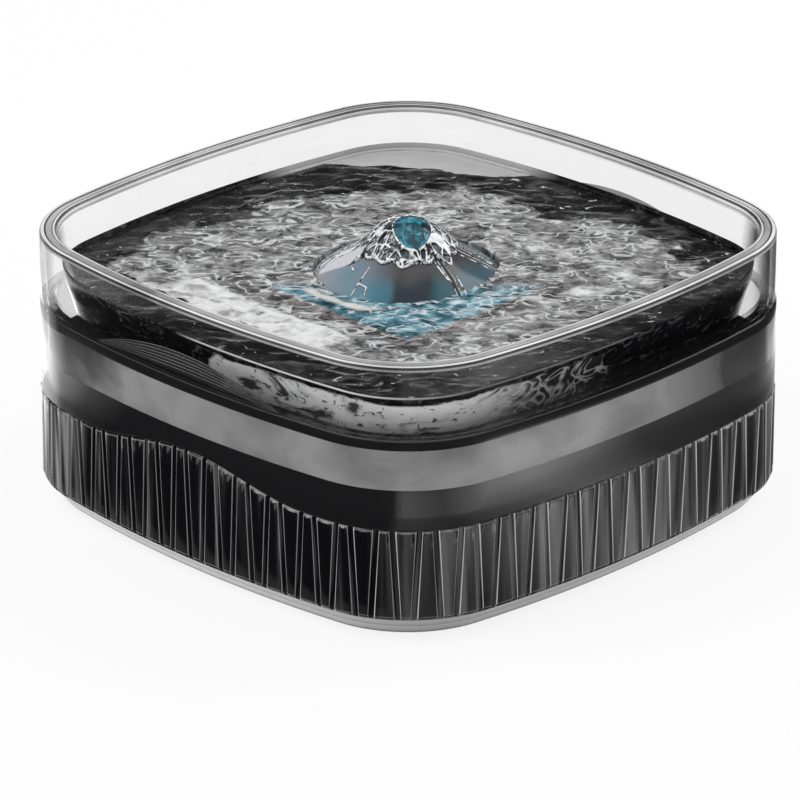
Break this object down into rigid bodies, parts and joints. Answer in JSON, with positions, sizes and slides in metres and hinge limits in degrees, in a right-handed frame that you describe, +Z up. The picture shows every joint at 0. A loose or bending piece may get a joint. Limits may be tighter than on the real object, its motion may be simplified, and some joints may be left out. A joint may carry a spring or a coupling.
{
  "type": "pet water fountain",
  "caption": "Rounded-square pet water fountain: fluted smoke-clear tank, clear tray with a dark bowl, lit filter deck and a low fountain dome over a wireless pump.",
  "frame": {"origin": "on the ground under the middle of the body", "axes": "+Z up, the front is the -Y side with one finger scoop, the power inlet is in the back (+Y) side"},
  "size_m": [0.2112, 0.2112, 0.0964],
  "materials": {
    "clear_plastic": "polished clear",
    "smoky_plastic": "polished smoke-tinted",
    "dark_plastic": "glossy black",
    "frosted_plastic": "translucent frosted",
    "white_plastic": "moulded matt",
    "pump_plastic": "moulded matt",
    "blue_plastic": "translucent blue",
    "dome_plastic": "satin blue-grey",
    "rubber": "matt",
    "silicone": "translucent matt",
    "copper_wire": "enamelled wire",
    "ferrite": "sintered",
    "magnet": "plated",
    "board": "solder mask",
    "component": "moulded",
    "steel": "plated steel",
    "ceramic": "polished ceramic",
    "lamp": "lamp package",
    "sponge": "open foam",
    "carbon": "granules in a bag",
    "resin": "granules in a bag",
    "cotton": "felted pad"
  },
  "bodies": {
    "base": {"base_pan": "frosted_plastic", "base_cover": "white_plastic", "base_screws": "steel", "rubber_feet": "rubber", "drive_board": "board", "board_parts": "component", "usb_c_socket": "steel", "drive_coil": "copper_wire", "coil_ferrite": "ferrite", "coil_leads": "copper_wire"},
    "tank": {"tank_shell": "smoky_plastic", "tank_sleeve": "dark_plastic", "suction_cups": "silicone", "pump_plate": "pump_plastic", "pump_screws": "steel", "pump_gasket": "silicone", "pump_housing": "pump_plastic", "receiver_coil": "copper_wire", "receiver_board": "board", "stator_core": "steel", "stator_windings": "copper_wire", "pump_shaft": "ceramic", "shaft_bushes": "rubber", "volute_cover": "pump_plastic", "riser_tube": "clear_plastic", "riser_seal": "silicone", "led_board": "board", "led_chips": "lamp", "led_lens": "clear_plastic"},
    "impeller": {"impeller": "white_plastic", "rotor_magnet": "magnet"},
    "inlet": {"inlet_cover": "pump_plastic", "inlet_sponge": "sponge"},
    "tray": {"tray_shell": "clear_plastic", "seam_ring": "dark_plastic", "bowl_liner": "dark_plastic"},
    "filter": {"filter_frame": "white_plastic", "resin_bed": "resin", "carbon_bed": "carbon", "cotton_pad": "cotton", "filter_deck": "blue_plastic"},
    "dome": {"dome_shell": "dome_plastic", "flow_spreader": "pump_plastic", "nozzle_cap": "blue_plastic"}
  },
  "joints": [
    {"name": "tank_lift", "type": "slide", "parent": "base", "child": "tank", "axis": [0, 0, 1], "range_m": [0, 0.06]},
    {"name": "impeller_spin", "type": "hinge", "parent": "tank", "child": "impeller", "pos_m": [0, 0, 0.04], "axis": [0, 0, 1], "continuous": true},
    {"name": "inlet_cover_slide", "type": "slide", "parent": "tank", "child": "inlet", "axis": [0, -1, 0], "range_m": [0, 0.025]},
    {"name": "tray_lift", "type": "slide", "parent": "tank", "child": "tray", "axis": [0, 0, 1], "range_m": [0, 0.08]},
    {"name": "filter_lift", "type": "slide", "parent": "tray", "child": "filter", "axis": [0, 0, 1], "range_m": [0, 0.05]},
    {"name": "dome_lift", "type": "slide", "parent": "filter", "child": "dome", "axis": [0, 0, 1], "range_m": [0, 0.04]}
  ]
}
